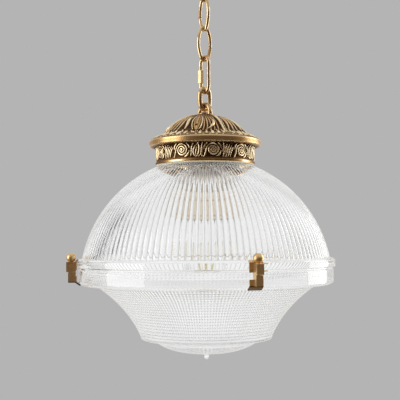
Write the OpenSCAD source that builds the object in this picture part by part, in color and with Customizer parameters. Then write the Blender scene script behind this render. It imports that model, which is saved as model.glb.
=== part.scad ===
// Pendant light: ceiling rose with hook, oval chain, quick link, oval ring,
// cast brass gallery, two-part pressed prismatic glass globe held together at
// its rim by three screw clips, and a screw lampholder with a clear bulb.
// Origin: centre of the rose's mounting plane at the ceiling. +Z is up, so
// the lamp hangs below zero. Even chain pieces lie in the XZ plane, odd ones
// in the YZ plane. Heights called h are measured up from the rim joint
// between the two glasses.

/* [Ceiling rose] */
// Diameter of the ceiling rose cover
rose_d = 110; // [96:1:130]
// Depth of the ceiling rose cover
rose_depth = 38; // [34:1:44]
// Distance between the two fixing screw holes
screw_pitch = 80; // [60:1:84]
// Diameter of each fixing screw hole
screw_hole_d = 5; // [4:0.5:6]
// Wire centre of the hook's lowest point below the ceiling
hook_drop = 68.35; // [67.35:0.5:90.35]

/* [Chain] */
// Wire diameter of the chain links
link_wire = 4.8; // [3.8:0.5:4.8]
// Length of a link between wire centres
link_len = 46.85; // [44.85:0.5:52.85]
// Width of a link between wire centres
link_wid = 20; // [19:0.5:23]
// Wire diameter of the screw quick link
quick_wire = 5; // [4.5:0.5:5]
// Length of the quick link between wire centres
quick_len = 50.3; // [49.3:0.5:54.3]
// Width of the quick link between wire centres
quick_wid = 18.6; // [17.6:0.1:19]
// Length of the quick link's sleeve nut
sleeve_len = 18.7; // [17.7:0.5:19.2]
// Wire diameter of the oval ring and the hanging loop
ring_wire = 6.5; // [5.5:0.5:6.5]
// Length of the oval ring between wire centres
ring_len = 29.2; // [28.8:0.2:34]
// Width of the oval ring between wire centres
ring_wid = 15.8; // [15.6:0.2:18]
// Play between two pieces that hang in each other
hang_gap = 0.15; // [0.1:0.05:0.3]

/* [Glass globe] */
// Radius of the upper glass's rim flange
rim_r = 175; // [173:0.5:177]
// Wall thickness of the glass
glass_t = 5; // [4:0.5:5]
// Radius of the neck opening at the top of the dome
neck_r = 49; // [46:0.5:50]
// Thickness of the clear gasket between the two rims
rim_gap = 1.6; // [1.2:0.2:2]

/* [Gallery] */
// Radius of the plain flange ring round the gallery
gallery_flange_r = 77; // [76:0.5:79]
// Radius of the frieze band without its relief
frieze_r = 66.9; // [66:0.1:67.5]
// Outer radius of the threaded tube through the gallery
tube_r = 5; // [4.5:0.5:5]

/* [Clips] */
// Width of the sheet jaws round the rim
jaw_w = 17.6; // [14:0.2:20]
// Width of the screw blocks round the rim
block_w = 9; // [8:0.5:10]
// Diameter of the ball head of the clip screw
ball_d = 12.8; // [11.5:0.1:13.2]
// Shank radius of the clip screw
shank_r = 2.5; // [2:0.1:2.6]
// Polar angles of the three clips round the rim
clip_angles = [-105.5, 152, 23.3];

/* [Lampholder and bulb] */
// Outer radius of the lampholder body
holder_r = 19.2; // [19:0.1:20]
// Radius of the bulb's widest part
bulb_r = 30; // [27.5:0.5:32]
// Number of light sticks inside the bulb
sticks = 6; // [4:1:8]

/* [Hidden] */
$fn = 96;

brass = [0.63, 0.49, 0.27];
pale_brass = [0.78, 0.63, 0.36];
clear_glass = [0.90, 0.94, 0.96, 0.45];
steel = [0.72, 0.72, 0.72];

// wire centre heights, from the ceiling down
z_hook = -hook_drop;
hook_wire = 5;
z_top_hi = z_hook + (hook_wire + link_wire) / 2 + hang_gap;
z_top_lo = z_top_hi - link_len;
z_mid_hi = z_top_lo + link_wire + hang_gap;
z_mid_lo = z_mid_hi - link_len;
z_low_hi = z_mid_lo + link_wire + hang_gap;
z_low_lo = z_low_hi - link_len;
z_quick_hi = z_low_lo + (link_wire + quick_wire) / 2 + hang_gap;
z_quick_lo = z_quick_hi - quick_len;
z_ring_hi = z_quick_lo + (quick_wire + ring_wire) / 2 + hang_gap;
z_ring_lo = z_ring_hi - ring_len;
z_loop = z_ring_lo + ring_wire + hang_gap;
z_rim = z_loop - 224.55;

// glass dome: part of a sphere whose centre lies below the rim joint
dome_c = -19.5;
dome_R = rim_r - 4;
seat_h = 138.5;
flange_top_h = 13.6;
band_base_h = 139.2;

function arc_r(R, h) = sqrt(R * R - (h - dome_c) * (h - dome_c));
function arc_pts(R, ha, hb, n) =
    let (a = acos((ha - dome_c) / R), b = acos((hb - dome_c) / R))
    [for (i = [0 : n]) let (t = a + (b - a) * i / n) [R * sin(t), dome_c + R * cos(t)]];
function bez(p, t) = pow(1 - t, 3) * p[0] + 3 * t * pow(1 - t, 2) * p[1]
                   + 3 * t * t * (1 - t) * p[2] + t * t * t * p[3];
function bez_pts(p, n, a, b) = [for (i = [0 : n]) bez(p, a + (b - a) * i / n)];

module revolve(pts) { rotate_extrude() polygon(pts); }
module at_rim() { translate([0, 0, z_rim]) children(); }
module tube(ro, ri, h1, h2) {
    translate([0, 0, h1]) difference() {
        cylinder(r = ro, h = h2 - h1);
        translate([0, 0, -1]) cylinder(r = ri, h = h2 - h1 + 2);
    }
}
module half_ring(R, r) { rotate([90, 0, 0]) rotate_extrude(angle = 180) translate([R, 0]) circle(r = r, $fn = 48); }

// a stadium of round wire in the XZ plane, from wire centre z1 up to z2
module wire_oval(z1, z2, width, wire) {
    R = width / 2;
    translate([0, 0, z2 - R]) half_ring(R, wire / 2);
    translate([0, 0, z1 + R]) mirror([0, 0, 1]) half_ring(R, wire / 2);
    for (s = [-1, 1]) translate([s * R, 0, z1 + R]) cylinder(r = wire / 2, h = z2 - z1 - 2 * R, $fn = 48);
}
module arc_wire(R, r, a1, a2) {
    rotate([90, 0, 0]) rotate([0, 0, a1]) rotate_extrude(angle = a2 - a1) translate([R, 0]) circle(r = r, $fn = 48);
}
// an oval of round wire in the XZ plane: two end arcs of radius r and two long
// side arcs that meet them tangentially in a ball 0.03 mm wider than the wire
module bowed_oval(z1, z2, width, wire, r) {
    a = width / 2;
    b = (z2 - z1) / 2;
    R = (a * a + b * b - 2 * b * r) / (2 * (a - r));
    t = atan2(R - a, b - r);
    for (s = [0, 180]) translate([0, 0, (z1 + z2) / 2]) rotate([0, s, 0]) {
        translate([0, 0, b - r]) arc_wire(r, wire / 2, 90 - t, 90 + t);
        translate([a - R, 0, 0]) arc_wire(R, wire / 2, t - 90, 90 - t);
        for (m = [-1, 1]) translate([m * r * sin(t), 0, b - r + r * cos(t)]) sphere(r = wire / 2 + 0.03, $fn = 48);
    }
}
// chain link with the slanted butt joint that closes its wire
module link(z1, z2) {
    difference() {
        bowed_oval(z1, z2, link_wid, link_wire, 6);
        translate([link_wid / 2, 0, (z1 + z2) / 2 - 5]) rotate([0, 40, 0])
            cube([link_wire * 3, link_wire * 2, 0.9], center = true);
    }
}

/* ceiling rose */
module ceiling_bracket() {
    color(steel) difference() {
        union() {
            translate([-(screw_pitch / 2), -10, -3]) cube([screw_pitch, 20, 3]);
            for (s = [-1, 1]) translate([s * screw_pitch / 2, 0, -3]) cylinder(r = 10, h = 3);
        }
        for (s = [-1, 1]) translate([s * screw_pitch / 2, 0, -4]) cylinder(r = screw_hole_d / 2, h = 5);
        translate([0, 0, -4]) cylinder(r = 4, h = 5);
    }
}
module rose_cup() {
    R = rose_d / 2;
    d = rose_depth;
    color(brass) difference() {
        revolve([[R - 2.4, 0], [R, 0], [R, -3.5], [R - 1, -5.2], [R - 2.4, -5.6], [R - 3.4, -8],
                 [R - 6, -13], [R - 10.5, -18.5], [R - 16, -23], [R - 22, -26.6], [R - 26, -29.4],
                 [R - 28.4, -32.6], [R - 29.2, -d + 2], [R - 30.4, -d], [4.3, -d], [4.3, -d + 1.4],
                 [R - 31.2, -d + 1.4], [R - 30.4, -32.2], [R - 27.4, -28.2], [R - 23, -25],
                 [R - 17, -21.4], [R - 11.6, -17.1], [R - 7.4, -12], [R - 4.8, -7.2], [R - 3.6, -4.4]]);
        translate([18, 0, -d - 1]) cylinder(r = 3.5, h = 4);
    }
}
module rose_nut() {
    color(pale_brass) difference() {
        revolve([[4, -rose_depth], [10, -rose_depth], [10.6, -rose_depth - 0.8], [10.6, -rose_depth - 4.6],
                 [9.6, -rose_depth - 6], [7, -rose_depth - 7.6], [5.4, -rose_depth - 8.2], [4, -rose_depth - 8.2]]);
        for (i = [0 : 23]) rotate([0, 0, i * 15]) translate([10.9, 0, -rose_depth - 4.3]) cylinder(r = 0.55, h = 3.2, $fn = 16);
    }
}
// open eye hook in the YZ plane on a threaded shank
module ceiling_hook() {
    R = 9;
    zc = z_hook + R;
    color(brass) {
        translate([0, 0, zc + R + 0.5]) cylinder(r = 4, h = -(zc + R + 0.5) - 0.4);
        translate([0, 0, zc + R - 0.6]) cylinder(r1 = 2.8, r2 = 4, h = 1.2);
        translate([0, 0, zc]) rotate([0, 0, 90]) rotate([90, 0, 0]) rotate([0, 0, -198])
            rotate_extrude(angle = 288) translate([R, 0]) circle(r = hook_wire / 2, $fn = 48);
    }
}
module hook_locknut() {
    color(steel) translate([0, 0, -8.5]) difference() {
        cylinder(r = 13 / sqrt(3), h = 5.5, $fn = 6);
        translate([0, 0, -1]) cylinder(r = 4, h = 8);
    }
}

/* chain, quick link and oval ring */
module chain_link_top() { color(brass) link(z_top_lo, z_top_hi); }
module chain_link_middle() { color(brass) rotate([0, 0, 90]) link(z_mid_lo, z_mid_hi); }
module chain_link_lower() { color(brass) link(z_low_lo, z_low_hi); }

// the sleeve nut covers a gap in the +Y leg
gap_lo = z_quick_lo + quick_wid / 2 + 6;
gap_w = 5;
sleeve_lo = gap_lo - 1.4;
module quick_link_body() {
    color(brass) difference() {
        rotate([0, 0, 90]) wire_oval(z_quick_lo, z_quick_hi, quick_wid, quick_wire);
        translate([-4, quick_wid / 2 - 4, gap_lo]) cube([8, 8, gap_w]);
        // thread grooves above the sleeve, each a plain ring
        for (i = [0 : 5]) translate([0, quick_wid / 2, sleeve_lo + sleeve_len + 0.6 + i * 0.85])
            rotate_extrude($fn = 48) polygon([[quick_wire / 2 - 0.4, 0], [quick_wire / 2 + 0.4, -0.42], [quick_wire / 2 + 0.4, 0.42]]);
    }
}
module quick_link_nut() {
    color(pale_brass) translate([0, quick_wid / 2, sleeve_lo]) difference() {
        intersection() {
            rotate([0, 0, -6]) cylinder(r = 7.4 / sqrt(3), h = sleeve_len, $fn = 6);
            revolve([[0, 0], [3.6, 0], [4.4, 0.8], [4.4, sleeve_len - 0.8], [3.6, sleeve_len], [0, sleeve_len]]);
        }
        translate([0, 0, -1]) cylinder(r = quick_wire / 2 + 0.05, h = sleeve_len + 2, $fn = 48);
    }
}
module oval_ring() { color(brass) bowed_oval(z_ring_lo, z_ring_hi, ring_wid, ring_wire, 7.4); }

/* gallery */
// half ring on a round foot, its hub goes down through the cap
module hanging_loop() {
    color(brass) at_rim() difference() {
        union() {
            translate([0, 0, 212.05]) rotate([0, 0, 90]) half_ring(12.5, ring_wire / 2);
            for (s = [-1, 1]) translate([0, s * 12.5, 210]) cylinder(r = ring_wire / 2, h = 2.05, $fn = 48);
            translate([-3.7, -12.5, 209.6]) cube([7.4, 25, 2]);
            for (s = [-1, 1]) translate([0, s * 12.5, 209.6]) cylinder(r = 3.7, h = 2, $fn = 48);
            translate([0, 0, 209.6]) cylinder(r = 9.4, h = 2);
            translate([0, 0, 201]) cylinder(r = 7, h = 9);
        }
        translate([0, 0, 200]) cylinder(r = tube_r, h = 9.4);
        translate([0, 0, 200]) cylinder(r = 3.5, h = 13);
    }
}
module gallery_cap() {
    color(brass) at_rim() revolve(concat(
        [[7.05, 209.6], [14.2, 209.6]],
        [[22.5, 207.4], [30.5, 204.2], [37, 201.1], [42.3, 198], [46.4, 195], [49.2, 192],
         [52.4, 189], [54.8, 186], [58.2, 183], [60.6, 180.6], [61.6, 179.6]],
        [[57.9, 179.6], [57.9, 174.5], [55.9, 174.5], [55.9, 180.4], [53.4, 183.4], [49.8, 187.4],
         [45.6, 191.8], [41, 195.2], [35.6, 198.4], [29, 201.5], [21.6, 204.4], [14, 206.6], [7.05, 207.2]]));
}
module gallery_band() {
    F = gallery_flange_r;
    r = frieze_r;
    color(brass) at_rim() revolve([
        [r - 2.6, band_base_h], [r + 0.6, band_base_h], [r + 1.5, 140.1], [r + 1.5, 141.5], [r + 0.4, 144.2],
        [r - 0.4, 145.6], [r - 0.4, 161.6], [r + 0.4, 163], [r + 2.2, 164.1], [F - 4.6, 164.7], [F - 4.2, 165.3],
        [F - 0.8, 165.5], [F, 166.4], [F, 172.2], [F - 0.6, 173.1], [F - 2.6, 174.2],
        [F - 7, 176.2], [F - 12, 178.4], [63.4, 179.6], [58, 179.6], [58, 174], [r - 3, 170.4], [r - 3, 166], [r - 2.6, 164]]);
}
module neck_gasket() { color([0.82, 0.79, 0.74]) at_rim() tube(frieze_r - 1.4, 60, seat_h, band_base_h); }
module plate_gasket() { color([0.82, 0.79, 0.74]) at_rim() tube(59.5, neck_r + 2.5, seat_h - glass_t - 1.6, seat_h - glass_t); }
module neck_plate() { color(pale_brass) at_rim() tube(61, tube_r, seat_h - glass_t - 3.6, seat_h - glass_t - 1.6); }
module threaded_tube() { color(pale_brass) at_rim() tube(tube_r, 3.5, 112, 209.4); }
module tube_nut() {
    h2 = seat_h - glass_t - 3.6;
    color(steel) at_rim() translate([0, 0, h2 - 5]) difference() {
        cylinder(r = 17 / sqrt(3), h = 5, $fn = 6);
        translate([0, 0, -1]) cylinder(r = tube_r, h = 7);
    }
}

/* glass */
module glass_dome() {
    Ri = dome_R - glass_t;
    g = rim_gap / 2;
    color(clear_glass) at_rim() revolve(concat(
        arc_pts(dome_R, seat_h, flange_top_h, 40),
        [[rim_r - 3.6, flange_top_h - 0.6], [rim_r - 1.9, flange_top_h - 2], [rim_r, flange_top_h - 3.8],
         [rim_r, g + 1.2], [rim_r - 1.2, g]],
        arc_pts(Ri, g, seat_h - glass_t, 40),
        [[neck_r + 1.2, seat_h - glass_t], [neck_r, seat_h - glass_t + 1.2], [neck_r, seat_h - 1.2], [neck_r + 1.2, seat_h]]));
}
wall_curve = [[rim_r - 28.5, -25.6], [rim_r - 58, -46], [rim_r - 77.5, -72], [rim_r - 85.8, -93.5]];
dish_curve = [[66.5, -101.3], [60, -107.5], [38, -116], [0, -116.4]];
wall_in = [[rim_r - 33.4, -22.6], [rim_r - 62.4, -42.6], [rim_r - 82.6, -68.6], [rim_r - 90.8, -89.4]];
dish_in = [[64, -96.6], [57, -102.6], [36, -111], [0, -111.4]];
module glass_bowl() {
    g = rim_gap / 2;
    r = rim_r - 2.6;
    color(clear_glass) at_rim() revolve(concat(
        [[r - 1, -g], [r, -g - 1], [r, -18.8], [r - 1.6, -20.2], [r - 3.9, -21.4], [r - 16, -22.8], [r - 21, -23.6]],
        bez_pts(wall_curve, 26, 0, 1),
        [[rim_r - 86.6, -95.4], [rim_r - 88.6, -96], [75.5, -98.2], [70, -99.8]],
        bez_pts(dish_curve, 14, 0, 0.93),
        [[6.4, -116.9], [4.2, -117.6], [3.1, -118.6], [2.9, -119.4], [3.4, -120.4], [3.3, -121.6], [2.5, -123], [1.2, -124.3], [0, -124.8]],
        bez_pts(dish_in, 12, 1, 0),
        [[70, -94.6], [78, -92.4]],
        bez_pts(wall_in, 22, 1, 0),
        [[rim_r - 26, -17.8], [rim_r - 19, -10.4], [rim_r - 16, -g - 2], [rim_r - 15.4, -g]]));
}
module rim_gasket() { color([0.82, 0.84, 0.84]) at_rim() tube(rim_r - 3.8, rim_r - 10, -rim_gap / 2, rim_gap / 2); }

/* lampholder */
module holder_cap() {
    R = holder_r;
    color(brass) at_rim() revolve([[tube_r, 121], [8, 121], [8.6, 120.2], [8.6, 114.4], [10, 112.8], [13.4, 110.4],
        [16.6, 106.6], [18.4, 101.6], [R, 96], [R, 91.8], [R - 1, 91.8], [R - 1, 95.8], [R - 1.8, 101.2],
        [15.6, 105.8], [12.6, 109.2], [9.4, 111.2], [tube_r, 112.2]]);
}
module holder_body() {
    R = holder_r;
    color(brass) at_rim() revolve([[R - 1.1, 95], [R - 1.1, 91.6], [R + 0.5, 91.4], [R + 0.9, 90.6], [R + 0.5, 89.8],
        [R, 89.4], [R, 70.6], [R + 0.8, 69.8], [R + 1.4, 68.4], [R + 1.4, 66.4], [R + 0.8, 65.2], [R - 0.4, 64.8],
        [R - 1.6, 65.2], [R - 1.6, 69.6], [R - 2, 71], [R - 2.1, 95]]);
}
// porcelain insert: a cup with the contact floor at its top
module holder_insert() {
    R = holder_r - 2.2;
    color([0.93, 0.91, 0.86]) at_rim() difference() {
        union() {
            tube(R, 14, 67, 92);
            translate([0, 0, 92]) cylinder(r = R, h = 6);
        }
        for (s = [-1, 1]) translate([0, s * 8, 91]) cylinder(r = 1.6, h = 8);
    }
}
module holder_thread() { color(pale_brass) at_rim() tube(14, 13.25, 69, 90); }
module centre_contact() {
    color(pale_brass) at_rim() {
        translate([-3, -2.5, 91.2]) cube([14, 5, 0.8]);
        translate([0, 0, 90.1]) cylinder(r = 2.4, h = 1.2);
    }
}
module terminal_screws() {
    color(steel) at_rim() for (s = [-1, 1]) translate([s * 9, 0, 98]) difference() {
        cylinder(r = 2.6, h = 2.2);
        translate([-3, -0.4, 1.4]) cube([6, 0.8, 1]);
    }
}

/* bulb */
module bulb_cap() {
    color([0.80, 0.78, 0.72]) at_rim() revolve([[12.75, 65.4], [13.2, 65.4], [13.2, 84.6], [12.4, 86], [8.6, 87],
        [8.6, 86.4], [12, 85.4], [12.7, 84.4], [12.75, 84]]);
}
module bulb_insulator() {
    color([0.10, 0.10, 0.11]) at_rim() revolve([[0, 85.2], [8.5, 85.2], [8.5, 87], [6.4, 88.2], [5, 88.8], [0, 88.8]]);
}
module bulb_contact() { color(steel) at_rim() translate([0, 0, 88.8]) cylinder(r = 4.4, h = 1.1); }
// profile of the bulb glass at radius offset o
function bulb_pts(o) = let (R = bulb_r - o, c = bulb_r - 13)
    concat([for (i = [0 : 20]) let (a = -90 + i * 125 / 20) [R * cos(a), c + R * sin(a)]],
           bez_pts([[R * cos(35), c + R * sin(35)], [R * cos(35) - 5, c + R * sin(35) + 7.2],
                    [13.4 - o, 54], [12.6 - o, 62]], 12, 0.06, 1));
module bulb_glass() {
    color([0.93, 0.95, 0.96, 0.35]) at_rim() difference() {
        revolve(concat(bulb_pts(0), [[12.6, 71.5], [0, 71.5]]));
        revolve(concat(bulb_pts(0.9), [[11.7, 70.4], [0, 70.4]]));
    }
}
module bulb_stem() {
    color([0.90, 0.93, 0.94, 0.6]) at_rim() revolve([[0, 70.3], [10.5, 70.3], [10, 68.6], [6, 65], [4.2, 60], [3.6, 52],
        [3.4, 46], [2.2, 44.6], [1.8, 40], [2.4, 37.6], [2.2, 34.6], [0, 34.6]]);
}
// one thin arm from a hub to each light stick, at both ends
module bulb_supports() {
    color(steel) at_rim() {
        translate([0, 0, -4.2]) cylinder(r = 0.6, h = 38, $fn = 24);
        translate([0, 0, 32.2]) cylinder(r = 2, h = 2.4, $fn = 24);
        translate([0, 0, -4.2]) cylinder(r = 2, h = 1.8, $fn = 24);
        for (i = [0 : sticks - 1]) rotate([0, 0, 360 * i / sticks]) {
            translate([1.4, -0.35, 32.5]) cube([7.6, 0.7, 0.7]);
            translate([1.4, -0.35, -3.6]) cube([12.6, 0.7, 0.7]);
        }
    }
}
module bulb_filaments() {
    color([0.96, 0.80, 0.20]) at_rim() for (i = [0 : sticks - 1]) rotate([0, 0, 360 * i / sticks])
        translate([13, 0, -2.6]) rotate([0, -8, 0]) cylinder(r = 0.95, h = 35.2, $fn = 24);
}

/* clips: a fixed upper jaw, a lower jaw that the screw draws up */
screw_x = rim_r + 7.6;
module clip_at(i) { at_rim() rotate([0, 0, clip_angles[i]]) children(); }
module jaw(pts, w) { rotate([90, 0, 0]) translate([0, 0, -w / 2]) linear_extrude(height = w) polygon(pts); }
module clip_upper(i) {
    e = rim_r + 0.05;
    color(brass) clip_at(i) difference() {
        union() {
            jaw([[e, -1.4], [e + 1.6, -1.4], [e + 1.6, 10.5], [e - 1, 13.1], [e - 2.1, 12], [e, 9.9]], jaw_w);
            jaw([[e + 1.2, -4.1], [rim_r + 13.4, -4.1], [rim_r + 14, -3.5], [rim_r + 14, 8.8], [rim_r + 13.4, 9.4], [e + 1.2, 9.4]], block_w);
        }
        translate([screw_x, 0, -6]) cylinder(r = shank_r + 0.05, h = 16, $fn = 48);
    }
}
module clip_lower(i) {
    e = rim_r + 0.05;
    color(brass) clip_at(i) difference() {
        union() {
            jaw([[e, -9.6], [e + 1.6, -9.6], [e + 1.6, -18.6], [e - 4.6, -22.7], [e - 5.5, -21.4], [e, -17.8]], jaw_w);
            jaw([[e + 1.3, -18.4], [rim_r + 11, -18.4], [rim_r + 11.5, -17.9], [rim_r + 11.5, -4.5], [e + 1.3, -4.5]], block_w - 0.3);
        }
        translate([screw_x, 0, -20]) cylinder(r = shank_r + 0.05, h = 17, $fn = 48);
    }
}
module clip_screw(i) {
    c = 15.2;
    color(pale_brass) clip_at(i) translate([screw_x, 0, 0]) {
        intersection() {
            translate([0, 0, c]) sphere(r = ball_d / 2);
            translate([0, 0, 9.6]) cylinder(r = ball_d, h = 11.4);
        }
        translate([0, 0, -17]) cylinder(r = shank_r, h = 27.8, $fn = 48);
    }
}
module clip_upper_1() { clip_upper(0); }
module clip_upper_2() { clip_upper(1); }
module clip_upper_3() { clip_upper(2); }
module clip_lower_1() { clip_lower(0); }
module clip_lower_2() { clip_lower(1); }
module clip_lower_3() { clip_lower(2); }
module clip_screw_1() { clip_screw(0); }
module clip_screw_2() { clip_screw(1); }
module clip_screw_3() { clip_screw(2); }

ceiling_bracket();
rose_cup();
rose_nut();
ceiling_hook();
hook_locknut();
chain_link_top();
chain_link_middle();
chain_link_lower();
quick_link_body();
quick_link_nut();
oval_ring();
hanging_loop();
gallery_cap();
gallery_band();
neck_gasket();
glass_dome();
plate_gasket();
neck_plate();
threaded_tube();
tube_nut();
holder_cap();
holder_body();
holder_insert();
holder_thread();
centre_contact();
terminal_screws();
bulb_cap();
bulb_insulator();
bulb_contact();
bulb_glass();
bulb_stem();
bulb_supports();
bulb_filaments();
rim_gasket();
glass_bowl();
clip_upper_1();
clip_upper_2();
clip_upper_3();
clip_lower_1();
clip_lower_2();
clip_lower_3();
clip_screw_1();
clip_screw_2();
clip_screw_3();
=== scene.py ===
import math

import bpy
import bmesh
import numpy as np
from mathutils import Matrix, Vector


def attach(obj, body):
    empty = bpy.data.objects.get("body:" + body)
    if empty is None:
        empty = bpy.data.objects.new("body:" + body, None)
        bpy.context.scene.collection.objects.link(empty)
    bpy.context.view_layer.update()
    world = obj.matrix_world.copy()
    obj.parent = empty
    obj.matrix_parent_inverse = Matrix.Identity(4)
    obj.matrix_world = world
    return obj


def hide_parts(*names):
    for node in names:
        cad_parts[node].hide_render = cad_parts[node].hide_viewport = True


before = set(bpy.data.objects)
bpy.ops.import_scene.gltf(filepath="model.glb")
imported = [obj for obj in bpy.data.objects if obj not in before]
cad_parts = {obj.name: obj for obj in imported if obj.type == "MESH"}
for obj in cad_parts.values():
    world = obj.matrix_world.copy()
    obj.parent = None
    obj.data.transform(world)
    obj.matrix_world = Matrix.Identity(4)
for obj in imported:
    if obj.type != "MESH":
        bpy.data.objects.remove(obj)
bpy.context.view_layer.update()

# Every length below is in millimetres, and h is the height above the joint
# between the two glasses, as in the CAD source. MM and ZR turn them into
# metres in the part's frame.
MM = 0.001
ZR = -480.4
CAM_AZ = math.radians(-125.0)   # polar angle of the camera as seen from the lamp


# ------------------------------------------------------------------ camera
def look_camera():
    cam_data = bpy.data.cameras.new("photo_camera")
    cam = bpy.data.objects.new("photo_camera", cam_data)
    bpy.context.scene.collection.objects.link(cam)
    f_px = 828.0
    cam_data.sensor_width = 36.0
    cam_data.lens = 36.0 * f_px / 400.0
    cam_data.clip_start = 0.05
    cam_data.clip_end = 60.0
    dist = 1.137
    cam.location = (dist * math.cos(CAM_AZ), dist * math.sin(CAM_AZ), (ZR + 33.5) * MM)
    yaw = CAM_AZ + math.pi + math.atan(5.5 / f_px)      # aims a little left of the axis
    pitch = math.atan(43.0 / f_px)
    fwd = Vector((math.cos(yaw) * math.cos(pitch), math.sin(yaw) * math.cos(pitch), math.sin(pitch)))
    rot = fwd.to_track_quat("-Z", "Y").to_matrix()
    roll = Matrix.Rotation(math.radians(-0.4), 3, "Z")
    cam.matrix_world = Matrix.Translation(cam.location) @ (rot @ roll).to_4x4()
    bpy.context.scene.camera = cam
    return cam


look_camera()


# ------------------------------------------------------------------ node helpers
def new_tree(name):
    mat = bpy.data.materials.new(name)
    mat.use_nodes = True
    nt = mat.node_tree
    nt.nodes.clear()
    out = nt.nodes.new("ShaderNodeOutputMaterial")
    bsdf = nt.nodes.new("ShaderNodeBsdfPrincipled")
    nt.links.new(bsdf.outputs["BSDF"], out.inputs["Surface"])
    return mat, nt, bsdf


def coord(nt, scale=(1, 1, 1)):
    tc = nt.nodes.new("ShaderNodeTexCoord")
    mp = nt.nodes.new("ShaderNodeMapping")
    mp.inputs["Scale"].default_value = scale
    nt.links.new(tc.outputs["Object"], mp.inputs["Vector"])
    return mp.outputs["Vector"]


def noise(nt, vec, scale, detail=4.0, rough=0.55, distort=0.0):
    n = nt.nodes.new("ShaderNodeTexNoise")
    n.inputs["Scale"].default_value = scale
    n.inputs["Detail"].default_value = detail
    n.inputs["Roughness"].default_value = rough
    n.inputs["Distortion"].default_value = distort
    nt.links.new(vec, n.inputs["Vector"])
    return n.outputs["Fac"]


def ramp(nt, fac, stops, interp="LINEAR"):
    r = nt.nodes.new("ShaderNodeValToRGB")
    r.color_ramp.interpolation = interp
    el = r.color_ramp.elements
    while len(el) > 1:
        el.remove(el[-1])
    el[0].position = stops[0][0]
    el[0].color = stops[0][1]
    for p, c in stops[1:]:
        e = el.new(p)
        e.color = c
    if fac is not None:
        nt.links.new(fac, r.inputs["Fac"])
    return r.outputs["Color"]


def grey(v):
    return (v, v, v, 1.0)


def rgb(r, g, b):
    return (r, g, b, 1.0)


def mix_col(nt, fac, a, b, mode="MIX"):
    m = nt.nodes.new("ShaderNodeMix")
    m.data_type = "RGBA"
    m.blend_type = mode
    if isinstance(fac, (int, float)):
        m.inputs["Factor"].default_value = fac
    else:
        nt.links.new(fac, m.inputs["Factor"])
    for sock, v in ((m.inputs[6], a), (m.inputs[7], b)):
        if isinstance(v, tuple):
            sock.default_value = v
        else:
            nt.links.new(v, sock)
    return m.outputs[2]


def mathn(nt, op, a, b=None, c=None, clamp=False):
    m = nt.nodes.new("ShaderNodeMath")
    m.operation = op
    m.use_clamp = clamp
    for i, v in enumerate((a, b, c)):
        if v is None:
            continue
        if isinstance(v, (int, float)):
            m.inputs[i].default_value = v
        else:
            nt.links.new(v, m.inputs[i])
    return m.outputs[0]


def bump(nt, height, strength, distance, normal=None):
    b = nt.nodes.new("ShaderNodeBump")
    b.inputs["Strength"].default_value = strength
    b.inputs["Distance"].default_value = distance
    nt.links.new(height, b.inputs["Height"])
    if normal is not None:
        nt.links.new(normal, b.inputs["Normal"])
    return b.outputs["Normal"]


def attribute(nt, name):
    a = nt.nodes.new("ShaderNodeAttribute")
    a.attribute_name = name
    return a.outputs["Fac"]


# ------------------------------------------------------------------ materials
def aged_brass(name, bright, mid, dark, rough=(0.22, 0.42), wear_shade_attr=None, patina=0.5, grain=1.0, streak=False, shade_below=None):
    """Worn brass: a bright metal under a brown patina that stays in the hollows, with fine scratches and cast grain."""
    mat, nt, b = new_tree(name)
    vec = coord(nt)
    big = noise(nt, vec, 55.0, 5.0, 0.6)
    small = noise(nt, vec, 620.0, 4.0, 0.6)
    speck = noise(nt, vec, 2600.0, 2.0, 0.5)
    # with a wear_and_shade attribute the colour follows worn crests, and hollows darkened by patina and painted shade
    if wear_shade_attr:
        wear_and_shade = attribute(nt, wear_shade_attr)
        f = mathn(nt, "MULTIPLY_ADD", mathn(nt, "SUBTRACT", small, 0.5), 0.34, wear_and_shade)
        f = mathn(nt, "MULTIPLY_ADD", mathn(nt, "SUBTRACT", big, 0.5), 0.25, f, clamp=True)
        col = ramp(nt, f, [(0.0, dark), (0.22, tuple(0.62 * d + 0.38 * m for d, m in zip(dark, mid))),
                           (0.52, mid), (0.86, bright), (1.0, bright)])
        rgh = ramp(nt, f, [(0.0, grey(rough[1] + 0.18)), (0.45, grey(rough[1])), (0.9, grey(rough[0]))])
    else:
        f = mathn(nt, "MULTIPLY_ADD", mathn(nt, "SUBTRACT", small, 0.5), 0.5, big, clamp=True)
        f = mathn(nt, "MULTIPLY_ADD", mathn(nt, "SUBTRACT", speck, 0.5), 0.3, f, clamp=True)
        f = mathn(nt, "ADD", f, 0.5 - patina, clamp=True)
        col = ramp(nt, f, [(0.18, dark), (0.42, mid), (0.66, bright), (1.0, bright)])
        rgh = ramp(nt, f, [(0.2, grey(rough[1] + 0.06)), (0.5, grey(0.5 * (rough[0] + rough[1]))), (0.75, grey(rough[0]))])
    if shade_below is not None:      # painted shade darkens the part under this height
        sep = nt.nodes.new("ShaderNodeSeparateXYZ")
        nt.links.new(vec, sep.inputs[0])
        under = mathn(nt, "MULTIPLY_ADD", sep.outputs[2], -900.0, 0.5 + 900.0 * shade_below, clamp=True)
        col = mix_col(nt, mathn(nt, "MULTIPLY", under, mathn(nt, "MULTIPLY_ADD", small, 0.2, 0.75, clamp=True)), col, rgb(0.06, 0.022, 0.006))
    nt.links.new(col, b.inputs["Base Color"])
    nt.links.new(rgh, b.inputs["Roughness"])
    b.inputs["Metallic"].default_value = 1.0
    if streak:
        sv = coord(nt, (60.0, 60.0, 2600.0))
        lines = noise(nt, sv, 1.0, 3.0, 0.7)
        n1 = bump(nt, lines, 0.10 * grain, 0.0002)
        n2 = bump(nt, small, 0.16 * grain, 0.0003, n1)
    else:
        n1 = bump(nt, speck, 0.12 * grain, 0.00015)
        n2 = bump(nt, small, 0.20 * grain, 0.0004, n1)
    nt.links.new(n2, b.inputs["Normal"])
    return mat


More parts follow.
